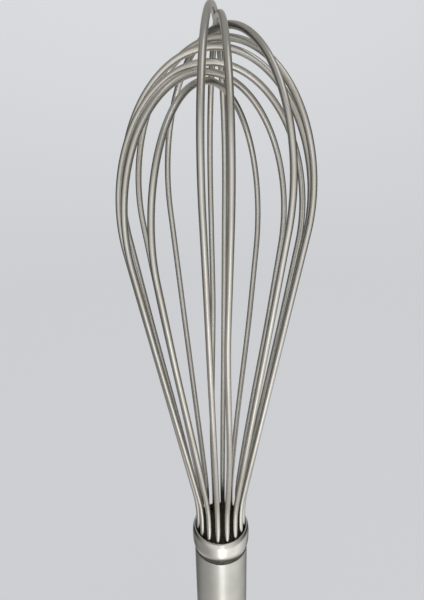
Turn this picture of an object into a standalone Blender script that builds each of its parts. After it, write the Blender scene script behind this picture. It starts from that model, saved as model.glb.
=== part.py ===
"""Balloon whisk: eight nested wire loops set in the mouth of a tubular stainless steel handle.

Metres, +Z up, the head uppermost. The handle's axis is the Z axis, and the origin is where a hand grips it,
halfway along the handle.
"""

import math

import bmesh
import bpy
from mathutils import Matrix, Vector

MM = 0.001
GAP = 0.3 * MM  # between pieces that touch

# Handle
HANDLE_LENGTH = 125 * MM
HANDLE_RADIUS = 10.75 * MM
TUBE_WALL = 0.5 * MM
HANDLE_TOP = HANDLE_LENGTH / 2
HANDLE_END = -HANDLE_LENGTH / 2
BORE_RADIUS = HANDLE_RADIUS - TUBE_WALL
RUNNING_CLEARANCE = 0.35 * MM  # on the radius, round what slides or turns
PLUG_RADIUS = BORE_RADIUS - RUNNING_CLEARANCE
ROUND_STEPS = 48

# Wire head
LOOP_COUNT = 8
WIRE_DIAMETER = 2 * MM
FOOT_RADIUS = 8.95 * MM  # circle on which the wires stand in the handle
FOOT_DEPTH = 38 * MM  # wire below the mouth of the handle
BELLY_RADIUS = 28.8 * MM
CAP_HEIGHT = 42 * MM  # from the widest point up to the top of a loop
FIRST_LOOP_HEIGHT = 172.7 * MM  # innermost loop, above the mouth
LOOP_STEP = 2.35 * MM  # each next loop passes over the one before it
INNER_LOOPS = 3
NEST_GAP = 1.3 * MM  # how much further the other loops stand off the inner ones
BEND_HEIGHT = 22.6 * MM  # where the wires turn outwards, above the mouth
BEND_LENGTH = 6 * MM  # each side of the bend
FIRST_SLOT = 60.7  # degrees round the axis from +X
SLOT_STEP = 360 / (2 * LOOP_COUNT)

# How far each loop, from the innermost, has sprung from its slot: turn in degrees, then lean of its top.
LOOP_SET = (
    (-5, -1.2 * MM, 1.0 * MM),
    (-7, -1.6 * MM, 0.9 * MM),
    (-6, -0.9 * MM, 0.1 * MM),
    (5, 0.1 * MM, -0.3 * MM),
    (6, 1.3 * MM, 0.2 * MM),
    (1, 2.0 * MM, -1.1 * MM),
    (-10, 1.3 * MM, -0.7 * MM),
    (0, 0.0 * MM, -0.7 * MM),
)

# Fluted pieces inside the mouth, as heights above the mouth
FLUTE_RADIUS = WIRE_DIAMETER / 2 + GAP
SEAL_SPAN = (-5.7 * MM, 8 * MM)
CORE_SPAN = (-30 * MM, -6 * MM)
RESIN_SPAN = (-44 * MM, -30.3 * MM)

# Collar round the mouth
GASKET_HEIGHT = 1.1 * MM
GASKET_RADIUS = 10.7 * MM
COLLAR_RADIUS = 11.5 * MM
COLLAR_BASE = 2 * GAP + GASKET_HEIGHT
COLLAR_HEIGHT = 8.9 * MM
COLLAR_FULLNESS = 2.6  # its outside is a superellipse of this power: 2 is an ellipse, and more is squarer
COLLAR_STEPS = 18
COLLAR_CHAMFER = 0.15 * MM

# End cap and its swinging ring
CAP_LENGTH = 14 * MM
CAP_FLAT_RADIUS = 5 * MM
CAP_DOME_HEIGHT = 7 * MM
SPIGOT_LENGTH = 12 * MM
SPIGOT_BORE_RADIUS = 8 * MM
CAP_FLOOR = 2 * MM  # of solid metal above the shoulder
RING_WIRE = 2.5 * MM
RING_PIVOT_HEIGHT = 7.5 * MM  # above the butt end
RING_HOLE_RADIUS = RING_WIRE / 2 + RUNNING_CLEARANCE
RING_HALF_WIDTH = 13.2 * MM
RING_CORNER = 3 * MM
RING_ARM = 12 * MM


def clear_scene():
    for obj in list(bpy.data.objects):
        bpy.data.objects.remove(obj, do_unlink=True)


def new_collection(name):
    collection = bpy.data.collections.new(name)
    bpy.context.scene.collection.children.link(collection)
    return collection


def material(name, colour, roughness, metallic):
    made = bpy.data.materials.new(name)
    made.use_nodes = True
    shader = made.node_tree.nodes["Principled BSDF"]
    shader.inputs["Base Color"].default_value = (*colour, 1)
    shader.inputs["Roughness"].default_value = roughness
    shader.inputs["Metallic"].default_value = metallic
    return made


def place(data, name, finish, location=(0, 0, 0)):
    """A new object in the whisk's collection."""
    obj = bpy.data.objects.new(name, data)
    obj.location = location
    data.materials.append(finish)
    whisk.objects.link(obj)
    return obj


def arc(centre, radii, start, end, count):
    """Points of an elliptical arc in a plane, angles in radians, both ends included."""
    angles = (start + (end - start) * i / (count - 1) for i in range(count))
    return [
        (centre[0] + radii[0] * math.cos(a), centre[1] + radii[1] * math.sin(a))
        for a in angles
    ]


# ---- turned pieces ----


def turned(name, profile, closed, finish):
    """A piece of revolution about Z.

    The profile runs down its outer side, and it is closed if the piece has a bore.
    """
    mesh = bpy.data.meshes.new(name)
    edges = [(i, i + 1) for i in range(len(profile) - 1)]
    if closed:
        edges.append((len(profile) - 1, 0))
    mesh.from_pydata([(r, 0, z) for r, z in profile], edges, [])
    obj = place(mesh, name, finish)
    screw = obj.modifiers.new("Turn", "SCREW")
    screw.axis = "Z"
    screw.steps = ROUND_STEPS
    screw.render_steps = ROUND_STEPS
    screw.use_merge_vertices = True
    screw.merge_threshold = 0.00001
    screw.use_smooth_shade = True
    return obj


def make_sleeve(name, radius, bottom, top, finish):
    """A tube as wide inside as the handle's bore."""
    profile = [
        (BORE_RADIUS, top),
        (radius, top),
        (radius, bottom),
        (BORE_RADIUS, bottom),
    ]
    return turned(name, profile, True, finish)


def make_collar_ring():
    """A polished band: flat bore, and an outside that swells to its middle and rounds off at both edges."""
    bottom = HANDLE_TOP + COLLAR_BASE
    top = bottom + COLLAR_HEIGHT
    inside = BORE_RADIUS + COLLAR_CHAMFER
    power = 2 / COLLAR_FULLNESS
    outside = []
    for i in range(COLLAR_STEPS + 1):
        angle = math.pi / 2 - math.pi * i / COLLAR_STEPS
        across = abs(math.cos(angle)) ** power
        up = math.copysign(abs(math.sin(angle)) ** power, angle)
        outside.append((inside + (COLLAR_RADIUS - inside) * across, (top + bottom + COLLAR_HEIGHT * up) / 2))
    profile = [
        (BORE_RADIUS, top - COLLAR_CHAMFER),
        *outside,
        (BORE_RADIUS, bottom + COLLAR_CHAMFER),
    ]
    return turned("collar_ring", profile, True, polished_steel)


def make_end_cap():
    """A domed cap with a hollow spigot in the tube and a cross hole for the ring."""
    shoulder = HANDLE_END + CAP_LENGTH
    top = shoulder + SPIGOT_LENGTH
    dome = arc(
        (CAP_FLAT_RADIUS, HANDLE_END + CAP_DOME_HEIGHT),
        (HANDLE_RADIUS - CAP_FLAT_RADIUS, CAP_DOME_HEIGHT),
        0,
        math.radians(-90),
        10,
    )
    profile = [
        (0, shoulder + CAP_FLOOR),
        (SPIGOT_BORE_RADIUS, shoulder + CAP_FLOOR),
        (SPIGOT_BORE_RADIUS, top),
        (PLUG_RADIUS, top),
        (PLUG_RADIUS, shoulder),
        (HANDLE_RADIUS, shoulder),
        *dome,
        (0, HANDLE_END),
    ]
    cap = turned("end_cap", profile, False, polished_steel)
    hole = cap.modifiers.new("Ring hole", "BOOLEAN")
    hole.operation = "DIFFERENCE"
    hole.object = make_cross_drill()
    return cap


def make_cross_drill():
    mesh = bpy.data.meshes.new("cross_drill")
    shape = bmesh.new()
    bmesh.ops.create_cone(
        shape,
        cap_ends=True,
        segments=24,
        radius1=RING_HOLE_RADIUS,
        radius2=RING_HOLE_RADIUS,
        depth=3 * HANDLE_RADIUS,
        matrix=Matrix.Rotation(math.radians(90), 4, "Y"),
    )
    shape.to_mesh(mesh)
    shape.free()
    drill = bpy.data.objects.new("cross_drill", mesh)
    drill.location = (0, 0, HANDLE_END + RING_PIVOT_HEIGHT)
    drill.hide_render = True
    drill.display_type = "WIRE"
    cutters.objects.link(drill)
    return drill


# ---- fluted pieces that hold and seal the wires ----


def flute_outline():
    """A disc's rim with one flute for each wire, open at the rim."""
    rim_half_angle = math.acos(
        (PLUG_RADIUS**2 + FOOT_RADIUS**2 - FLUTE_RADIUS**2)
        / (2 * PLUG_RADIUS * FOOT_RADIUS)
    )
    opening = math.atan2(
        PLUG_RADIUS * math.sin(rim_half_angle),
        PLUG_RADIUS * math.cos(rim_half_angle) - FOOT_RADIUS,
    )
    flute = arc(
        (FOOT_RADIUS, 0),
        (FLUTE_RADIUS, FLUTE_RADIUS),
        math.tau - opening,
        opening,
        9,
    )
    points = []
    for i in range(2 * LOOP_COUNT):
        turn = Matrix.Rotation(math.radians(FIRST_SLOT + SLOT_STEP * i), 2)
        points.extend(turn @ Vector(point) for point in flute)
    return points


def make_fluted(name, span, finish):
    low, high = (HANDLE_TOP + height for height in span)
    curve = bpy.data.curves.new(name, "CURVE")
    curve.dimensions = "2D"
    curve.fill_mode = "BOTH"
    curve.extrude = (high - low) / 2
    outline = flute_outline()
    spline = curve.splines.new("POLY")
    spline.points.add(len(outline) - 1)
    for point, (x, y) in zip(spline.points, outline):
        point.co = (x, y, 0, 1)
    spline.use_cyclic_u = True
    return place(curve, name, finish, (0, 0, (low + high) / 2))


# ---- wires ----


def smooth_step(value):
    value = min(max(value, 0), 1)
    return value * value * (3 - 2 * value)


def half_loop(height):
    """(radius, height above the mouth) from a wire's foot to the top of its loop.

    The wire stands straight, bends outwards, and runs straight until it meets the elliptical cap
    at a tangent.
    """
    centre = height - CAP_HEIGHT
    # With radii stretched by this, the cap is a circle and the tangent from the bend to it is plain geometry.
    stretch = CAP_HEIGHT / BELLY_RADIUS
    reach = math.hypot(FOOT_RADIUS * stretch, centre - BEND_HEIGHT)
    towards_bend = math.atan2(BEND_HEIGHT - centre, FOOT_RADIUS * stretch)
    touch = towards_bend + math.acos(CAP_HEIGHT / reach)
    flare = math.atan2(
        BELLY_RADIUS * math.cos(touch) - FOOT_RADIUS,
        centre + CAP_HEIGHT * math.sin(touch) - BEND_HEIGHT,
    )
    bend_radius = BEND_LENGTH / math.tan(flare / 2)
    bend = arc(
        (FOOT_RADIUS + bend_radius, BEND_HEIGHT - BEND_LENGTH),
        (bend_radius, bend_radius),
        math.pi,
        math.pi - flare,
        4,
    )
    cap = arc((0, centre), (BELLY_RADIUS, CAP_HEIGHT), touch, math.pi / 2, 17)
    return [(FOOT_RADIUS, -FOOT_DEPTH), (FOOT_RADIUS, 0), *bend, *flare_points(bend[-1], cap[0]), *cap]


def flare_points(start, end, count=4):
    """Points between the bend and the cap, so that the wire can turn a little as it rises."""
    return [
        (
            start[0] + (end[0] - start[0]) * i / (count + 1),
            start[1] + (end[1] - start[1]) * i / (count + 1),
        )
        for i in range(1, count + 1)
    ]


def loop_height(index):
    """How far the top of a loop stands above the mouth. Loop 0 is the innermost."""
    height = FIRST_LOOP_HEIGHT + LOOP_STEP * index
    return height if index < INNER_LOOPS else height + NEST_GAP


def loop_path(index):
    """The centre line of one loop, from foot to foot. Loop 0 is the innermost."""
    height = loop_height(index)
    slot = FIRST_SLOT - SLOT_STEP * index
    twist, lean_x, lean_y = LOOP_SET[index]
    half = half_loop(height)
    path = []
    for side, run in ((1, half), (-1, half[-2::-1])):
        for radius, z in run:
            rise = (z - BEND_HEIGHT) / (height - BEND_HEIGHT)
            angle = math.radians(slot + twist * smooth_step(rise * 2))
            lean = max(rise, 0)
            path.append(
                Vector(
                    (
                        side * radius * math.cos(angle) + lean_x * lean,
                        side * radius * math.sin(angle) + lean_y * lean,
                        HANDLE_TOP + z,
                    )
                )
            )
    return path


def make_wire(name, path, diameter, closed, finish, location=(0, 0, 0)):
    curve = bpy.data.curves.new(name, "CURVE")
    curve.dimensions = "3D"
    curve.bevel_depth = diameter / 2
    curve.bevel_resolution = 2
    curve.use_fill_caps = not closed
    spline = curve.splines.new("POLY")
    spline.points.add(len(path) - 1)
    for point, position in zip(spline.points, path):
        point.co = (*position, 1)
    spline.use_cyclic_u = closed
    return place(curve, name, finish, location)


def ring_path():
    """The hanging ring about its pivot: a straight bar through the cap, two arms and a half circle below."""
    inner = RING_HALF_WIDTH - RING_CORNER
    right_corner = arc((inner, -RING_CORNER), (RING_CORNER, RING_CORNER), math.pi / 2, 0, 6)
    bow = arc((0, -RING_ARM), (RING_HALF_WIDTH, RING_HALF_WIDTH), 0, -math.pi, 25)
    left_corner = arc((-inner, -RING_CORNER), (RING_CORNER, RING_CORNER), math.pi, math.pi / 2, 6)
    return [Vector((x, 0, z)) for x, z in right_corner + bow + left_corner]


clear_scene()
whisk = new_collection("balloon_whisk")
cutters = new_collection("cutters")

polished_steel = material("polished_steel", (0.78, 0.77, 0.74), 0.12, 1)
satin_steel = material("satin_steel", (0.66, 0.66, 0.63), 0.34, 1)
wire_steel = material("wire_steel", (0.74, 0.72, 0.68), 0.18, 1)
dark_sealant = material("dark_sealant", (0.05, 0.05, 0.045), 0.6, 0)
core_plastic = material("core_plastic", (0.35, 0.34, 0.31), 0.55, 0)
resin = material("resin", (0.42, 0.36, 0.22), 0.3, 0)

for loop_index in range(LOOP_COUNT):
    make_wire(f"wire_loop_{loop_index + 1}", loop_path(loop_index), WIRE_DIAMETER, False, wire_steel)
make_sleeve("handle_tube", HANDLE_RADIUS, HANDLE_END + CAP_LENGTH + GAP, HANDLE_TOP, satin_steel)
make_sleeve("collar_gasket", GASKET_RADIUS, HANDLE_TOP + GAP, HANDLE_TOP + COLLAR_BASE - GAP, dark_sealant)
make_collar_ring()
make_fluted("mouth_seal", SEAL_SPAN, dark_sealant)
make_fluted("wire_core", CORE_SPAN, core_plastic)
make_fluted("resin_plug", RESIN_SPAN, resin)
make_end_cap()
ring_place = (0, 0, HANDLE_END + RING_PIVOT_HEIGHT)
make_wire("hang_ring", ring_path(), RING_WIRE, True, polished_steel, ring_place)
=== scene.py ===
"""The looks of a stainless steel balloon whisk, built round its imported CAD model.

Metres, +Z up, the wire head uppermost. Sizes and places come from the CAD nodes' boxes. The wires' routes
and the ring's outline are worked out by the same rules as in the CAD source, with finer steps.
"""

import math

import bpy
from mathutils import Matrix, Vector, noise


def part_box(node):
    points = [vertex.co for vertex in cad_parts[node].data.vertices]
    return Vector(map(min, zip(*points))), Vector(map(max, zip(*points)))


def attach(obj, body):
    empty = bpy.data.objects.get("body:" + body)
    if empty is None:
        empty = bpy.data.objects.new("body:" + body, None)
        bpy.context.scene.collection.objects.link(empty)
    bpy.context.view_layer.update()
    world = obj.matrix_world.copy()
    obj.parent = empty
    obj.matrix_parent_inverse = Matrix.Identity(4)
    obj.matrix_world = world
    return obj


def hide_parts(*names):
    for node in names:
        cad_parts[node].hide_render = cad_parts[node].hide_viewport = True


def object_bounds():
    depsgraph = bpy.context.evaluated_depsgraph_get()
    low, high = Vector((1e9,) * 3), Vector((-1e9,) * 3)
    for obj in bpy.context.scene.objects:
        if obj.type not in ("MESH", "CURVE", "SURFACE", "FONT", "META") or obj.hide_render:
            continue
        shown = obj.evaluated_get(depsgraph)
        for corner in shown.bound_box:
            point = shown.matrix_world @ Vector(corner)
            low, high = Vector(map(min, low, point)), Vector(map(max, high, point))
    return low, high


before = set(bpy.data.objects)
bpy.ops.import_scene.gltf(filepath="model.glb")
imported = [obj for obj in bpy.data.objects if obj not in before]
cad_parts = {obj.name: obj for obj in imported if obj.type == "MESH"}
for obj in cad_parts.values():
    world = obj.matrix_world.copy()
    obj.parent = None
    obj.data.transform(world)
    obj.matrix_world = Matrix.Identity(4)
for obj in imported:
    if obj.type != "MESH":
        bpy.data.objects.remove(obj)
cad_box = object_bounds()

MM = 0.001

noise.seed_set(1)  # noise_vector would otherwise differ from run to run

# ---- sizes, from the CAD nodes' boxes, and those that no box gives as in the CAD source ----

tube_low, tube_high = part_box("handle_tube")
gasket_low, gasket_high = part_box("collar_gasket")
collar_low, collar_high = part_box("collar_ring")
cap_low, cap_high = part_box("end_cap")
ring_low, ring_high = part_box("hang_ring")
seal_low, seal_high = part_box("mouth_seal")

HANDLE_RADIUS = tube_high.x
MOUTH = tube_high.z
TUBE_WALL = 0.5 * MM
BORE_RADIUS = HANDLE_RADIUS - TUBE_WALL
RUNNING_CLEARANCE = 0.35 * MM
PLUG_RADIUS = BORE_RADIUS - RUNNING_CLEARANCE
GAP = 0.3 * MM

# ---- wire head, as in the CAD source ----

LOOP_COUNT = 8
WIRE_RADIUS = 1 * MM
FOOT_RADIUS = 8.95 * MM
FOOT_DEPTH = 38 * MM
BELLY_RADIUS = 28.8 * MM
CAP_HEIGHT = 42 * MM
FIRST_LOOP_HEIGHT = 172.7 * MM
LOOP_STEP = 2.35 * MM
INNER_LOOPS = 3
NEST_GAP = 1.3 * MM
BEND_HEIGHT = 22.6 * MM
BEND_LENGTH = 6 * MM
FIRST_SLOT = 60.7
SLOT_STEP = 360 / (2 * LOOP_COUNT)

# Turn in degrees, then lean of the top, of each loop from the innermost.
LOOP_SET = (
    (-5, -1.2 * MM, 1.0 * MM),
    (-7, -1.6 * MM, 0.9 * MM),
    (-6, -0.9 * MM, 0.1 * MM),
    (5, 0.1 * MM, -0.3 * MM),
    (6, 1.3 * MM, 0.2 * MM),
    (1, 2.0 * MM, -1.1 * MM),
    (-10, 1.3 * MM, -0.7 * MM),
    (0, 0.0 * MM, -0.7 * MM),
)

# ---- hanging ring, as in the CAD source ----

RING_RADIUS = (ring_high.y - ring_low.y) / 2
RING_HALF_WIDTH = ring_high.x - RING_RADIUS
RING_CORNER = 3 * MM
RING_ARM = 12 * MM
RING_PIVOT = ring_high.z - RING_RADIUS
RING_HOLE_RADIUS = RING_RADIUS + RUNNING_CLEARANCE

# ---- collar, as in the CAD source ----

COLLAR_FULLNESS = 2.6  # power of the superellipse that its outside follows

# ---- end cap, as in the CAD source ----

CAP_LENGTH = tube_low.z - GAP - cap_low.z
CAP_FLAT_RADIUS = 5 * MM
CAP_DOME_HEIGHT = 7 * MM
SPIGOT_BORE_RADIUS = 8 * MM
CAP_FLOOR = 2 * MM

# ---- what the finished pieces add to the CAD ----

BEND_WANDER = 0.12 * MM  # how far hand bending leaves a wire off its true line
WANDER_LENGTH = 45 * MM
DRAWN_LENGTH = 25  # draw marks are this many times longer than they are wide
TUBE_EDGE = 0.2 * MM
GASKET_EDGE = 0.2 * MM
COLLAR_EDGE = 0.15 * MM  # inner edge, which the CAD has as a chamfer
SHARP_ANGLE = math.radians(50)
CAP_SHARP_ANGLE = math.radians(28)  # keeps the rim of the cross hole crisp

# ---- fineness: steps of turned pieces, sides of wires, and points along stretches of an outline ----

ROUND_STEPS = 128
COLLAR_STEPS = 48
WIRE_SIDES = 20
RING_SIDES = 32
EDGE_POINTS = 5
FOOT_POINTS = 16
BEND_POINTS = 9
FLARE_POINTS = 40
LOOP_CAP_POINTS = 60
RING_CORNER_POINTS = 14
RING_ARM_POINTS = 8
RING_BOW_POINTS = 72
RING_BAR_POINTS = 12
DOME_POINTS = 33
SHOULDER_POINTS = 6


# ---- shapes ----


def arc(centre, radii, start, end, count):
    """Points of an elliptical arc in a plane, angles in radians, both ends included."""
    angles = (start + (end - start) * i / (count - 1) for i in range(count))
    return [
        (centre[0] + radii[0] * math.cos(a), centre[1] + radii[1] * math.sin(a))
        for a in angles
    ]


def straight(start, end, count):
    """Points between two points of a plane, neither end included."""
    return [
        tuple(a + (b - a) * i / (count + 1) for a, b in zip(start, end))
        for i in range(1, count + 1)
    ]


def smooth_step(value):
    value = min(max(value, 0), 1)
    return value * value * (3 - 2 * value)


def add_piece(mesh, body, finish, slot, *nodes):
    """A finished piece: it rides on its body, and stands for the CAD nodes named last."""
    obj = bpy.data.objects.new(mesh.name, mesh)
    bpy.context.scene.collection.objects.link(obj)
    mesh.materials.clear()
    mesh.materials.append(finish)
    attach(obj, body)
    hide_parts(*nodes)


def turned_mesh(name, profile, closed):
    """A mesh of revolution about Z. The profile runs down its outer side.

    A closed profile is for a piece with a bore.
    """
    outline = bpy.data.meshes.new(name + "_profile")
    edges = [(i, i + 1) for i in range(len(profile) - 1)]
    if closed:
        edges.append((len(profile) - 1, 0))
    outline.from_pydata([(r, 0, z) for r, z in profile], edges, [])
    maker = bpy.data.objects.new(name + "_maker", outline)
    bpy.context.scene.collection.objects.link(maker)
    screw = maker.modifiers.new("Turn", "SCREW")
    screw.axis = "Z"
    screw.steps = ROUND_STEPS
    screw.render_steps = ROUND_STEPS
    screw.use_merge_vertices = True
    screw.merge_threshold = 0.001 * MM
    screw.use_smooth_shade = True
    return baked_mesh(maker, name)


def baked_mesh(maker, name):
    """The mesh that a scratch object's modifiers make. The scratch object is removed."""
    bpy.context.view_layer.update()
    evaluated = maker.evaluated_get(bpy.context.evaluated_depsgraph_get())
    mesh = bpy.data.meshes.new_from_object(evaluated)
    mesh.name = name
    bpy.data.objects.remove(maker, do_unlink=True)
    return mesh


def sleeve_corners(outer_radius, top, bottom):
    """Corners of the section of a sleeve as wide inside as the tube's bore, down its outer side."""
    return [(BORE_RADIUS, top), (outer_radius, top), (outer_radius, bottom), (BORE_RADIUS, bottom)]


def rounded(corners, radius):
    """A turned profile through these corners, each rounded, with a support point beside each round."""
    points = []
    for i, corner in enumerate(corners):
        here = Vector(corner)
        before = (Vector(corners[i - 1]) - here).normalized()
        after = (Vector(corners[(i + 1) % len(corners)]) - here).normalized()
        half = before.angle(after) / 2
        reach = radius / math.tan(half)
        centre = here + (before + after).normalized() * (radius / math.sin(half))
        first = here + before * reach - centre
        turn = first.angle_signed(here + after * reach - centre)
        points.append(tuple(here + before * reach * 2))
        for k in range(EDGE_POINTS):
            offset = Matrix.Rotation(-turn * k / (EDGE_POINTS - 1), 2) @ first
            points.append(tuple(centre + offset))
        points.append(tuple(here + after * reach * 2))
    return points


def swept_mesh(name, path, radius, sides, closed):
    """A round wire along a path.

    Its drawn attribute is each vertex's place in the straightened wire, shortened lengthwise.
    """
    count = len(path)
    tangents = []
    for i in range(count):
        ahead = path[(i + 1) % count] if closed or i < count - 1 else path[i]
        behind = path[i - 1] if closed or i > 0 else path[i]
        tangents.append((ahead - behind).normalized())
    side = tangents[0].orthogonal().normalized()
    vertices, drawn, travelled = [], [], 0
    for i, (centre, tangent) in enumerate(zip(path, tangents)):
        if i:
            travelled += (centre - path[i - 1]).length
            side = (side - tangent * side.dot(tangent)).normalized()
        across = tangent.cross(side)
        for k in range(sides):
            angle = math.tau * k / sides
            out = side * math.cos(angle) + across * math.sin(angle)
            vertices.append(centre + out * radius)
            section = (math.cos(angle) * radius, math.sin(angle) * radius)
            drawn.append((*section, travelled / DRAWN_LENGTH))
    faces = []
    for i in range(count if closed else count - 1):
        low, high = i * sides, ((i + 1) % count) * sides
        for k in range(sides):
            n = (k + 1) % sides
            faces.append((low + k, low + n, high + n, high + k))
    if not closed:
        faces.append(tuple(reversed(range(sides))))
        faces.append(tuple(range((count - 1) * sides, count * sides)))
    mesh = bpy.data.meshes.new(name)
    mesh.from_pydata(vertices, [], faces)
    attribute = mesh.attributes.new("drawn", "FLOAT_VECTOR", "POINT")
    attribute.data.foreach_set("vector", [x for place in drawn for x in place])
    mesh.shade_smooth()
    mesh.set_sharp_from_angle(angle=SHARP_ANGLE)
    return mesh


# ---- materials ----

MOST_NOISE = (0.3, 0.7)  # the span that holds most of a noise's values


def new_material(name, colour, roughness, metallic):
    """A Principled material and its node tree."""
    made = bpy.data.materials.new(name)
    made.use_nodes = True
    shader = made.node_tree.nodes["Principled BSDF"]
    shader.inputs["Base Color"].default_value = (*colour, 1)
    shader.inputs["Roughness"].default_value = roughness
    shader.inputs["Metallic"].default_value = metallic
    return made, made.node_tree, shader


def stretched(tree, source, scale):
    """Coordinates scaled by the three factors in scale."""
    mapping = tree.nodes.new("ShaderNodeMapping")
    mapping.inputs["Scale"].default_value = scale
    tree.links.new(source, mapping.inputs["Vector"])
    return mapping.outputs["Vector"]


def object_place(tree):
    return tree.nodes.new("ShaderNodeTexCoord").outputs["Object"]


def drawn_place(tree):
    """Places in a straightened wire, from swept_mesh."""
    node = tree.nodes.new("ShaderNodeAttribute")
    node.attribute_name = "drawn"
    return node.outputs["Vector"]


def noise_of(tree, place, scale, detail=3, rough=0.55):
    node = tree.nodes.new("ShaderNodeTexNoise")
    node.inputs["Scale"].default_value = scale
    node.inputs["Detail"].default_value = detail
    node.inputs["Roughness"].default_value = rough
    tree.links.new(place, node.inputs["Vector"])
    return node.outputs["Fac"]


def ranged(tree, value, span, result=(0, 1)):
    """value mapped from its span to the result, and clamped."""
    node = tree.nodes.new("ShaderNodeMapRange")
    for name, end in zip(("From Min", "From Max", "To Min", "To Max"), (*span, *result)):
        node.inputs[name].default_value = end
    tree.links.new(value, node.inputs["Value"])
    return node.outputs["Result"]


def blended(tree, factor, colour_a, colour_b):
    """A mix of two colours, each given as numbers or as a socket."""
    node = tree.nodes.new("ShaderNodeMix")
    node.data_type = "RGBA"
    tree.links.new(factor, node.inputs["Factor"])
    for name, colour in (("A", colour_a), ("B", colour_b)):
        socket = next(s for s in node.inputs if s.name == name and s.type == "RGBA")
        if isinstance(colour, tuple):
            socket.default_value = (*colour, 1)
        else:
            tree.links.new(colour, socket)
    return next(s for s in node.outputs if s.type == "RGBA")


def toned(tree, value, span, colour_a, colour_b):
    """colour_a where value is at the start of its span, turning to colour_b at the end."""
    return blended(tree, ranged(tree, value, span), colour_a, colour_b)


def combined(tree, operation, a, b):
    """Two values joined by a Math node. b may be a number."""
    node = tree.nodes.new("ShaderNodeMath")
    node.operation = operation
    tree.links.new(a, node.inputs[0])
    if isinstance(b, (int, float)):
        node.inputs[1].default_value = b
    else:
        tree.links.new(b, node.inputs[1])
    return node.outputs["Value"]


def dress(tree, shader, colour, rough, height, depth):
    """Links a shader's colour and roughness, and a bump that is depth deep."""
    bump = tree.nodes.new("ShaderNodeBump")
    bump.inputs["Distance"].default_value = depth
    tree.links.new(height, bump.inputs["Height"])
    tree.links.new(colour, shader.inputs["Base Color"])
    tree.links.new(rough, shader.inputs["Roughness"])
    tree.links.new(bump.outputs["Normal"], shader.inputs["Normal"])


def groove_round_z(tree, shader, amount):
    """Stretches highlights along Z, across fine grooves that run round it."""
    shader.inputs["Anisotropic"].default_value = amount
    shader.inputs["Anisotropic Rotation"].default_value = 0.25
    tangent = tree.nodes.new("ShaderNodeTangent")
    tangent.direction_type = "RADIAL"
    tangent.axis = "Z"
    tree.links.new(tangent.outputs["Tangent"], shader.inputs["Tangent"])


def make_wire_steel():
    """Polished drawn wire: long faint draw marks, and a slightly warmer bloom in patches."""
    made, tree, shader = new_material("wire_steel_look", (0.66, 0.64, 0.605), 0.22, 1)
    marks = noise_of(tree, drawn_place(tree), 2600, 4, 0.6)
    patches = noise_of(tree, object_place(tree), 55)
    bloom = toned(tree, patches, (0.35, 0.65), (0.68, 0.67, 0.645), (0.63, 0.605, 0.555))
    streaks = ranged(tree, marks, (0.52, 0.75), (0, 0.35))
    colour = blended(tree, streaks, bloom, (0.4, 0.38, 0.345))
    marked = ranged(tree, marks, MOST_NOISE, (0.25, 0.33))
    patchy = ranged(tree, patches, MOST_NOISE, (-0.03, 0.04))
    dress(tree, shader, colour, combined(tree, "ADD", marked, patchy), marks, 0.012 * MM)
    return made


def make_satin_steel():
    """The handle tube: fine grooves round it, faint scratches along it."""
    made, tree, shader = new_material("satin_steel_look", (0.66, 0.66, 0.63), 0.3, 1)
    place = object_place(tree)
    grooves = noise_of(tree, stretched(tree, place, (30, 30, 4200)), 1, 4, 0.6)
    scratches = noise_of(tree, stretched(tree, place, (900, 900, 25)), 1, 3, 0.5)
    clouds = noise_of(tree, place, 70)
    tone = toned(tree, clouds, MOST_NOISE, (0.77, 0.765, 0.73), (0.66, 0.66, 0.625))
    scratched = ranged(tree, scratches, (0.6, 0.8), (0, 0.3))
    colour = blended(tree, scratched, tone, (0.82, 0.82, 0.8))
    grooved = ranged(tree, grooves, MOST_NOISE, (0.27, 0.37))
    cloudy = ranged(tree, clouds, MOST_NOISE, (-0.03, 0.04))
    dress(tree, shader, colour, combined(tree, "ADD", grooved, cloudy), grooves, 0.015 * MM)
    groove_round_z(tree, shader, 0.75)
    return made


def make_polished_steel():
    """Collar and cap: buffed bright, with fine random scratches and a few dull touches."""
    made, tree, shader = new_material("polished_steel_look", (0.78, 0.77, 0.74), 0.12, 1)
    place = object_place(tree)
    hairlines = noise_of(tree, stretched(tree, place, (260, 260, 2400)), 1, 5, 0.65)
    crossing = noise_of(tree, stretched(tree, place, (2400, 300, 500)), 1, 4, 0.6)
    touches = noise_of(tree, place, 140, 4)
    colour = toned(tree, touches, (0.35, 0.7), (0.8, 0.79, 0.765), (0.7, 0.685, 0.65))
    lined = ranged(tree, hairlines, (0.45, 0.75), (0, 0.1))
    crossed = ranged(tree, crossing, (0.5, 0.8), (0, 0.08))
    touched = ranged(tree, touches, MOST_NOISE, (0.07, 0.14))
    rough = combined(tree, "ADD", combined(tree, "ADD", lined, crossed), touched)
    dress(tree, shader, colour, rough, hairlines, 0.008 * MM)
    return made


def make_ring_steel():
    """The ring's wire, buffed bright, dulled where it rubs."""
    made, tree, shader = new_material("ring_steel_look", (0.78, 0.77, 0.74), 0.14, 1)
    marks = noise_of(tree, drawn_place(tree), 1800, 4, 0.6)
    touches = noise_of(tree, object_place(tree), 160, 4)
    colour = toned(tree, touches, (0.35, 0.7), (0.8, 0.79, 0.765), (0.7, 0.685, 0.65))
    marked = ranged(tree, marks, (0.4, 0.7), (0.08, 0.2))
    touched = ranged(tree, touches, MOST_NOISE, (0, 0.06))
    dress(tree, shader, colour, combined(tree, "ADD", marked, touched), marks, 0.01 * MM)
    return made


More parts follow.
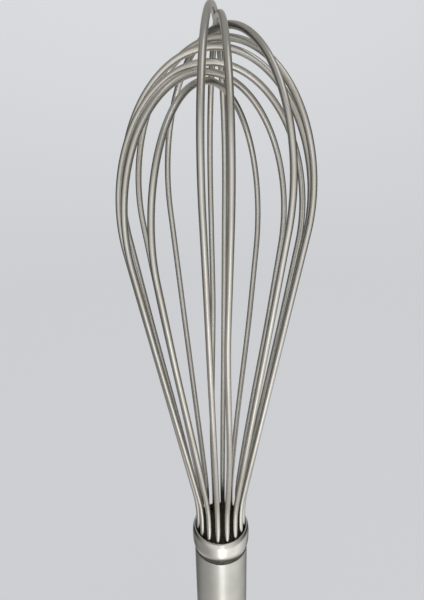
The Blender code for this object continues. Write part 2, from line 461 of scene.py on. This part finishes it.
def make_sealant():
    """Dark olive-brown sealant, lumpy and slightly shiny where it has skinned over."""
    made, tree, shader = new_material("sealant_look", (0.05, 0.048, 0.035), 0.45, 0)
    place = object_place(tree)
    lumps = noise_of(tree, place, 420, 4, 0.6)
    grime = noise_of(tree, place, 1500)
    colour = toned(tree, lumps, MOST_NOISE, (0.02, 0.019, 0.012), (0.05, 0.046, 0.03))
    dress(tree, shader, colour, ranged(tree, grime, MOST_NOISE, (0.45, 0.7)), lumps, 0.12 * MM)
    return made


def make_gasket_rubber():
    """Grey rubber of the joint line, greasy in places."""
    made, tree, shader = new_material("gasket_look", (0.09, 0.086, 0.07), 0.5, 0)
    place = object_place(tree)
    grease = noise_of(tree, place, 300, 4, 0.6)
    grain = noise_of(tree, place, 2200)
    colour = toned(tree, grease, MOST_NOISE, (0.06, 0.057, 0.045), (0.115, 0.11, 0.09))
    dress(tree, shader, colour, ranged(tree, grease, MOST_NOISE, (0.62, 0.4)), grain, 0.03 * MM)
    return made


def make_core_plastic():
    """Moulded grey core with a fine mould grain."""
    made, tree, shader = new_material("core_plastic_look", (0.35, 0.34, 0.31), 0.55, 0)
    place = object_place(tree)
    grain = noise_of(tree, place, 2600)
    flow = noise_of(tree, stretched(tree, place, (200, 200, 40)), 1)
    colour = toned(tree, flow, MOST_NOISE, (0.37, 0.36, 0.33), (0.3, 0.29, 0.265))
    dress(tree, shader, colour, ranged(tree, grain, MOST_NOISE, (0.48, 0.62)), grain, 0.03 * MM)
    return made


def make_resin():
    """Cast amber resin with streaks and trapped bubbles."""
    made, tree, shader = new_material("resin_look", (0.42, 0.36, 0.22), 0.3, 0)
    place = object_place(tree)
    streaks = noise_of(tree, stretched(tree, place, (150, 150, 60)), 1, 4)
    bubbles = tree.nodes.new("ShaderNodeTexVoronoi")
    bubbles.inputs["Scale"].default_value = 900
    tree.links.new(place, bubbles.inputs["Vector"])
    dents = ranged(tree, bubbles.outputs["Distance"], (0, 0.25))
    colour = toned(tree, streaks, MOST_NOISE, (0.45, 0.38, 0.24), (0.33, 0.27, 0.15))
    dress(tree, shader, colour, ranged(tree, streaks, MOST_NOISE, (0.22, 0.36)), dents, 0.08 * MM)
    return made


# ---- wires ----


def half_loop(height):
    """(radius, height above the mouth) from a wire's foot to the top of its loop, in fine steps."""
    centre = height - CAP_HEIGHT
    stretch = CAP_HEIGHT / BELLY_RADIUS
    reach = math.hypot(FOOT_RADIUS * stretch, centre - BEND_HEIGHT)
    towards_bend = math.atan2(BEND_HEIGHT - centre, FOOT_RADIUS * stretch)
    touch = towards_bend + math.acos(CAP_HEIGHT / reach)
    flare = math.atan2(
        BELLY_RADIUS * math.cos(touch) - FOOT_RADIUS,
        centre + CAP_HEIGHT * math.sin(touch) - BEND_HEIGHT,
    )
    bend_radius = BEND_LENGTH / math.tan(flare / 2)
    bend = arc(
        (FOOT_RADIUS + bend_radius, BEND_HEIGHT - BEND_LENGTH),
        (bend_radius, bend_radius),
        math.pi,
        math.pi - flare,
        BEND_POINTS,
    )
    cap = arc((0, centre), (BELLY_RADIUS, CAP_HEIGHT), touch, math.pi / 2, LOOP_CAP_POINTS)
    foot = (FOOT_RADIUS, -FOOT_DEPTH)
    shank = straight(foot, bend[0], FOOT_POINTS)
    return [foot, *shank, *bend, *straight(bend[-1], cap[0], FLARE_POINTS), *cap]


def loop_height(index):
    """How far the top of a loop stands above the mouth. Loop 0 is the innermost."""
    height = FIRST_LOOP_HEIGHT + LOOP_STEP * index
    return height if index < INNER_LOOPS else height + NEST_GAP


def loop_path(index):
    """The centre line of one loop, from foot to foot. Loop 0 is the innermost."""
    height = loop_height(index)
    slot = FIRST_SLOT - SLOT_STEP * index
    twist, lean_x, lean_y = LOOP_SET[index]
    half = half_loop(height)
    path = []
    for side, run in ((1, half), (-1, half[-2::-1])):
        for radius, z in run:
            rise = (z - BEND_HEIGHT) / (height - BEND_HEIGHT)  # 0 at the bend, 1 at the top
            angle = math.radians(slot + twist * smooth_step(rise * 2))
            lean = max(rise, 0)
            place = Vector(
                (
                    side * radius * math.cos(angle) + lean_x * lean,
                    side * radius * math.sin(angle) + lean_y * lean,
                    MOUTH + z,
                )
            )
            path.append(place + hand_bend(place, index) * smooth_step(rise * 4))
    return path


def hand_bend(place, index):
    """The small wander of a wire that was bent by hand. It differs from loop to loop."""
    apart = Vector((0, 0, 7 * index))
    return noise.noise_vector(place / WANDER_LENGTH + apart) * BEND_WANDER


def make_wires():
    for index in range(LOOP_COUNT):
        name = f"wire_loop_{index + 1}"
        path = loop_path(index)
        mesh = swept_mesh(name + "_drawn", path, WIRE_RADIUS, WIRE_SIDES, closed=False)
        add_piece(mesh, "whisk", wire_steel, "wire_steel", name)


# ---- handle ----


def make_tube():
    corners = sleeve_corners(HANDLE_RADIUS, tube_high.z, tube_low.z)
    mesh = turned_mesh("handle_tube_satin", rounded(corners, TUBE_EDGE), closed=True)
    add_piece(mesh, "whisk", satin_steel, "satin_steel", "handle_tube")


def make_gasket():
    """The joint line under the collar: a squeezed-out bead, a little uneven."""
    radius = gasket_high.x
    swell_length = 2.5 * MM
    swell_depth = 0.05 * MM
    corners = sleeve_corners(radius, gasket_high.z, gasket_low.z)
    mesh = turned_mesh("collar_gasket_bead", rounded(corners, GASKET_EDGE), closed=True)
    for vertex in mesh.vertices:
        if vertex.co.xy.length > (BORE_RADIUS + radius) / 2:
            swell = noise.noise(vertex.co / swell_length) * swell_depth
            vertex.co.xy += vertex.co.xy.normalized() * swell
    add_piece(mesh, "whisk", gasket_rubber, "dark_sealant", "collar_gasket")


def make_collar():
    """The polished band round the mouth: a flat bore, and an outside that swells to its middle."""
    inside = BORE_RADIUS + COLLAR_EDGE
    width = collar_high.x - inside
    middle = (collar_low.z + collar_high.z) / 2
    half_height = (collar_high.z - collar_low.z) / 2
    power = 2 / COLLAR_FULLNESS
    swell = []
    for i in range(1, COLLAR_STEPS):
        angle = math.pi / 2 - math.pi * i / COLLAR_STEPS
        across = math.cos(angle) ** power
        up = math.copysign(abs(math.sin(angle)) ** power, angle)
        swell.append((inside + width * across, middle + half_height * up))
    edge = (COLLAR_EDGE, COLLAR_EDGE)
    profile = [
        *arc((inside, collar_high.z - COLLAR_EDGE), edge, math.pi, math.pi / 2, EDGE_POINTS),
        *swell,
        *arc((inside, collar_low.z + COLLAR_EDGE), edge, -math.pi / 2, -math.pi, EDGE_POINTS),
    ]
    mesh = turned_mesh("collar_ring_band", profile, closed=True)
    add_piece(mesh, "whisk", polished_steel, "polished_steel", "collar_ring")


def foot_places():
    """Where the sixteen wires stand in the mouth."""
    return [
        Matrix.Rotation(math.radians(FIRST_SLOT + SLOT_STEP * i), 2) @ Vector((FOOT_RADIUS, 0))
        for i in range(2 * LOOP_COUNT)
    ]


def seal_height(place, feet):
    """Height of the poured surface. It climbs each wire, sinks in the middle, and is a little lumpy."""
    climb = 0.54 * MM
    climb_reach = 0.6 * MM
    lump_length = 3 * MM
    lump_depth = 0.25 * MM
    dish_depth = 0.5 * MM
    nearest = min((place.xy - foot).length for foot in feet) - WIRE_RADIUS
    meniscus = climb * math.exp(-max(nearest, 0) / climb_reach)
    lump = noise.noise(place / lump_length) * lump_depth
    dish = dish_depth * (1 - (place.xy.length / PLUG_RADIUS) ** 2)
    return seal_high.z - climb + meniscus + lump - dish


def make_seal():
    """Sealant poured between the wires: a disc with a shaped top, a flat base and a straight side."""
    rings, spokes = 36, 192
    feet = foot_places()
    top = [Vector((0, 0, 0))]
    for i in range(1, rings + 1):
        for k in range(spokes):
            angle = math.tau * k / spokes
            radius = PLUG_RADIUS * i / rings
            top.append(Vector((math.cos(angle) * radius, math.sin(angle) * radius, 0)))
    for vertex in top:
        vertex.z = seal_height(vertex, feet)
    base = [Vector((vertex.x, vertex.y, seal_low.z)) for vertex in top]
    faces = []
    for first, flip in ((0, False), (len(top), True)):
        for k in range(spokes):
            n = (k + 1) % spokes
            face = (first, first + 1 + k, first + 1 + n)
            faces.append(face[::-1] if flip else face)
            for i in range(rings - 1):
                low, high = first + 1 + i * spokes, first + 1 + (i + 1) * spokes
                face = (low + k, high + k, high + n, low + n)
                faces.append(face[::-1] if flip else face)
    rim = 1 + (rings - 1) * spokes
    for k in range(spokes):
        n = (k + 1) % spokes
        faces.append((rim + k, len(top) + rim + k, len(top) + rim + n, rim + n))
    mesh = bpy.data.meshes.new("mouth_seal_poured")
    mesh.from_pydata([*top, *base], [], faces)
    mesh.shade_smooth()
    mesh.set_sharp_from_angle(angle=SHARP_ANGLE)
    add_piece(mesh, "whisk", sealant, "dark_sealant", "mouth_seal")


# ---- butt end ----


def make_cap():
    """The domed cap, with a broken edge at its shoulder and a countersunk cross hole."""
    shoulder = cap_low.z + CAP_LENGTH
    dome = arc(
        (CAP_FLAT_RADIUS, cap_low.z + CAP_DOME_HEIGHT),
        (HANDLE_RADIUS - CAP_FLAT_RADIUS, CAP_DOME_HEIGHT),
        0,
        math.radians(-90),
        DOME_POINTS,
    )
    support = 0.9 * CAP_FLAT_RADIUS  # keeps the dome's smooth shading off most of the flat
    break_radius = 0.25 * MM
    edge = arc(
        (HANDLE_RADIUS - break_radius, shoulder - break_radius),
        (break_radius, break_radius),
        math.radians(90),
        0,
        SHOULDER_POINTS,
    )
    profile = [
        (0, shoulder + CAP_FLOOR),
        (SPIGOT_BORE_RADIUS, shoulder + CAP_FLOOR),
        (SPIGOT_BORE_RADIUS, cap_high.z),
        (PLUG_RADIUS, cap_high.z),
        (PLUG_RADIUS, shoulder),
        (HANDLE_RADIUS - 2 * break_radius, shoulder),
        *edge,
        (HANDLE_RADIUS, shoulder - 3 * break_radius),
        (HANDLE_RADIUS, cap_low.z + CAP_DOME_HEIGHT + break_radius),
        *dome,
        (support, cap_low.z),
        (0, cap_low.z),
    ]
    uncut = turned_mesh("end_cap_uncut", profile, closed=False)
    maker = bpy.data.objects.new("end_cap_maker", uncut)
    bpy.context.scene.collection.objects.link(maker)
    drill = cross_drill()
    hole = maker.modifiers.new("Ring hole", "BOOLEAN")
    hole.operation = "DIFFERENCE"
    hole.object = drill
    mesh = baked_mesh(maker, "end_cap_polished")
    bpy.data.objects.remove(drill, do_unlink=True)
    mesh.shade_smooth()
    mesh.set_sharp_from_angle(angle=CAP_SHARP_ANGLE)
    add_piece(mesh, "whisk", polished_steel, "polished_steel", "end_cap")


def cross_drill():
    """A drill along X that widens where it leaves the cap."""
    countersink = 0.45 * MM
    wide = RING_HOLE_RADIUS + 4 * countersink
    reach = 1.5 * HANDLE_RADIUS
    half = [
        (0, reach),
        (wide, reach),
        (wide, HANDLE_RADIUS + 3 * countersink),
        (RING_HOLE_RADIUS, HANDLE_RADIUS - countersink),
    ]
    profile = half + [(radius, -z) for radius, z in reversed(half)]
    mesh = turned_mesh("cross_drill", profile, closed=False)
    lay_along_x = Matrix.Rotation(math.radians(90), 4, "Y")
    mesh.transform(Matrix.Translation((0, 0, RING_PIVOT)) @ lay_along_x)
    drill = bpy.data.objects.new("cross_drill", mesh)
    bpy.context.scene.collection.objects.link(drill)
    drill.hide_render = True
    drill.display_type = "WIRE"
    return drill


def make_ring():
    """The hanging ring: a bar through the cap, two arms and a half circle below."""
    inner = RING_HALF_WIDTH - RING_CORNER
    corner = (RING_CORNER, RING_CORNER)
    right = arc((inner, -RING_CORNER), corner, math.pi / 2, 0, RING_CORNER_POINTS)
    bow = arc((0, -RING_ARM), (RING_HALF_WIDTH, RING_HALF_WIDTH), 0, -math.pi, RING_BOW_POINTS)
    left = arc((-inner, -RING_CORNER), corner, math.pi, math.pi / 2, RING_CORNER_POINTS)
    outline = [
        *right,
        *straight(right[-1], bow[0], RING_ARM_POINTS),
        *bow,
        *straight(bow[-1], left[0], RING_ARM_POINTS),
        *left,
        *straight(left[-1], right[0], RING_BAR_POINTS),
    ]
    path = [Vector((x, 0, RING_PIVOT + z)) for x, z in outline]
    mesh = swept_mesh("hang_ring_wire", path, RING_RADIUS, RING_SIDES, closed=True)
    add_piece(mesh, "ring", ring_steel, "polished_steel", "hang_ring")


# ---- studio ----

FLOOR_RADIUS = 0.9
WALL_RADIUS = 1.7
WALL_HEIGHT = 1.8
SWEEP_POINTS = 40

WORLD_STRENGTH = 2
WARMTH = (1, 0.99, 0.96)  # of the studio's light, as shares of its brightness

# Brightness round the whisk, by degrees from the front towards the right: first at eye level, then low down
LEVEL_LIGHT = (
    (-180, 0.3), (-152, 0.2), (-125, 0.01), (-100, 0.02), (-80, 0.09),
    (-55, 0.22), (-28, 0.4), (0, 0.46), (28, 0.42), (55, 0.26),
    (80, 0.12), (100, 0.03), (125, 0.01), (152, 0.2), (180, 0.3),
)
LOW_LIGHT = (
    (-180, 0.3), (-155, 0.2), (-135, 0.06), (-116, 0.1), (-93, 0.15), (-68, 0.17),
    (-50, 0.19), (-30, 0.3), (-14, 0.46), (-5, 0.9), (1, 1), (9, 1),
    (18, 0.68), (28, 0.58), (40, 0.52), (62, 0.5), (84, 0.39), (104, 0.3),
    (122, 0.24), (138, 0.06), (155, 0.2), (180, 0.3),
)
STEEP_LIGHT = (0.29, 0.287, 0.28)
HIGH_LIGHT = (0.17, 0.167, 0.158)
FLOOR_LIGHT = (0.04, 0.04, 0.038)


def make_sweep():
    """A pale floor that curves up into a wall all round. The studio's light comes in through it."""
    floor = cad_box[0].z
    rise = WALL_RADIUS - FLOOR_RADIUS
    curve = arc((FLOOR_RADIUS, floor + rise), (rise, rise), 0, -math.pi / 2, SWEEP_POINTS)
    profile = [(WALL_RADIUS, floor + WALL_HEIGHT), *curve, (0, floor)]
    mesh = turned_mesh("studio_sweep", profile, closed=False)
    obj = bpy.data.objects.new("studio_sweep", mesh)
    bpy.context.scene.collection.objects.link(obj)
    made, _, shader = new_material("pale_paper", (0.3, 0.307, 0.32), 0.9, 0)
    shader.inputs["Specular IOR Level"].default_value = 0.1
    shader.inputs["Emission Color"].default_value = (0.62, 0.635, 0.66, 1)
    shader.inputs["Emission Strength"].default_value = 0.79
    mesh.materials.append(made)
    obj.visible_glossy = False
    obj.visible_diffuse = False
    obj.visible_shadow = False


def make_world():
    """Soft light from every side, brightest from the front and right, and a bright strip low in front."""
    world = bpy.data.worlds.new("studio")
    bpy.context.scene.world = world
    world.use_nodes = True
    tree = world.node_tree
    background = tree.nodes["Background"]
    direction = tree.nodes.new("ShaderNodeTexCoord").outputs["Generated"]
    split = tree.nodes.new("ShaderNodeSeparateXYZ")
    tree.links.new(direction, split.inputs["Vector"])
    front = combined(tree, "MULTIPLY", split.outputs["Y"], -1)
    azimuth = combined(tree, "ARCTAN2", split.outputs["X"], front)
    turn = ranged(tree, azimuth, (-math.pi, math.pi))
    # A zone's light takes over as a direction's height goes from the first number to the second
    zones = (
        ((-0.46, -0.64), light_round(tree, turn, LOW_LIGHT)),
        ((-0.79, -0.88), STEEP_LIGHT),
        ((0.35, 0.75), HIGH_LIGHT),
        ((-0.86, -0.96), FLOOR_LIGHT),
    )
    glow = light_round(tree, turn, LEVEL_LIGHT)
    for heights, light in zones:
        glow = toned(tree, split.outputs["Z"], heights, glow, light)
    tree.links.new(glow, background.inputs["Color"])
    background.inputs["Strength"].default_value = WORLD_STRENGTH


def light_round(tree, turn, stops):
    """A colour ramp round the full turn, from (degrees, brightness) stops."""
    ramp = tree.nodes.new("ShaderNodeValToRGB")
    tree.links.new(turn, ramp.inputs["Fac"])
    elements = ramp.color_ramp.elements
    while len(elements) < len(stops):
        elements.new(0.5)
    for element, (degrees, brightness) in zip(elements, stops):
        element.position = degrees / 360 + 0.5
        element.color = (*(brightness * share for share in WARMTH), 1)
    return ramp.outputs["Color"]


def add_area_light(name, place, target, size, power):
    data = bpy.data.lights.new(name, "AREA")
    data.shape = "RECTANGLE"
    data.size, data.size_y = size
    data.energy = power
    obj = bpy.data.objects.new(name, data)
    obj.location = place
    obj.rotation_euler = (Vector(target) - Vector(place)).to_track_quat("-Z", "Y").to_euler()
    obj.visible_camera = False
    bpy.context.scene.collection.objects.link(obj)


def make_lights():
    head = Vector((0, 0, (MOUTH + cad_box[1].z) / 2))
    add_area_light("front_strip", (0.015, -0.17, 0.1), (0, 0, 0.1), (0.04, 0.3), 0.0115)
    add_area_light("top_softbox", (0.3, -0.35, 0.9), head, (0.5, 0.5), 0.6)


def make_camera():
    """A wide lens close in front of the head and above its middle, looking a little down."""
    data = bpy.data.cameras.new("camera")
    data.sensor_fit = "VERTICAL"
    data.sensor_height = 36
    data.lens = 26.03
    data.clip_start = 0.005
    camera = bpy.data.objects.new("camera", data)
    camera.location = (0, -0.1361, 0.2182)
    camera.rotation_euler = (math.radians(70.29), math.radians(1.05), math.radians(0.36))
    bpy.context.scene.collection.objects.link(camera)
    bpy.context.scene.camera = camera


# ---- the whole scene ----

wire_steel = make_wire_steel()
satin_steel = make_satin_steel()
polished_steel = make_polished_steel()
ring_steel = make_ring_steel()
sealant = make_sealant()
gasket_rubber = make_gasket_rubber()
core_plastic = make_core_plastic()
resin = make_resin()

make_wires()
make_tube()
make_gasket()
make_collar()
make_seal()
make_cap()
make_ring()
for node, finish, slot in (("wire_core", core_plastic, "core_plastic"), ("resin_plug", resin, "resin")):
    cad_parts[node].material_slots[0].material = finish

make_sweep()
make_world()
make_lights()
make_camera()
bpy.context.scene.view_settings.view_transform = "Standard"
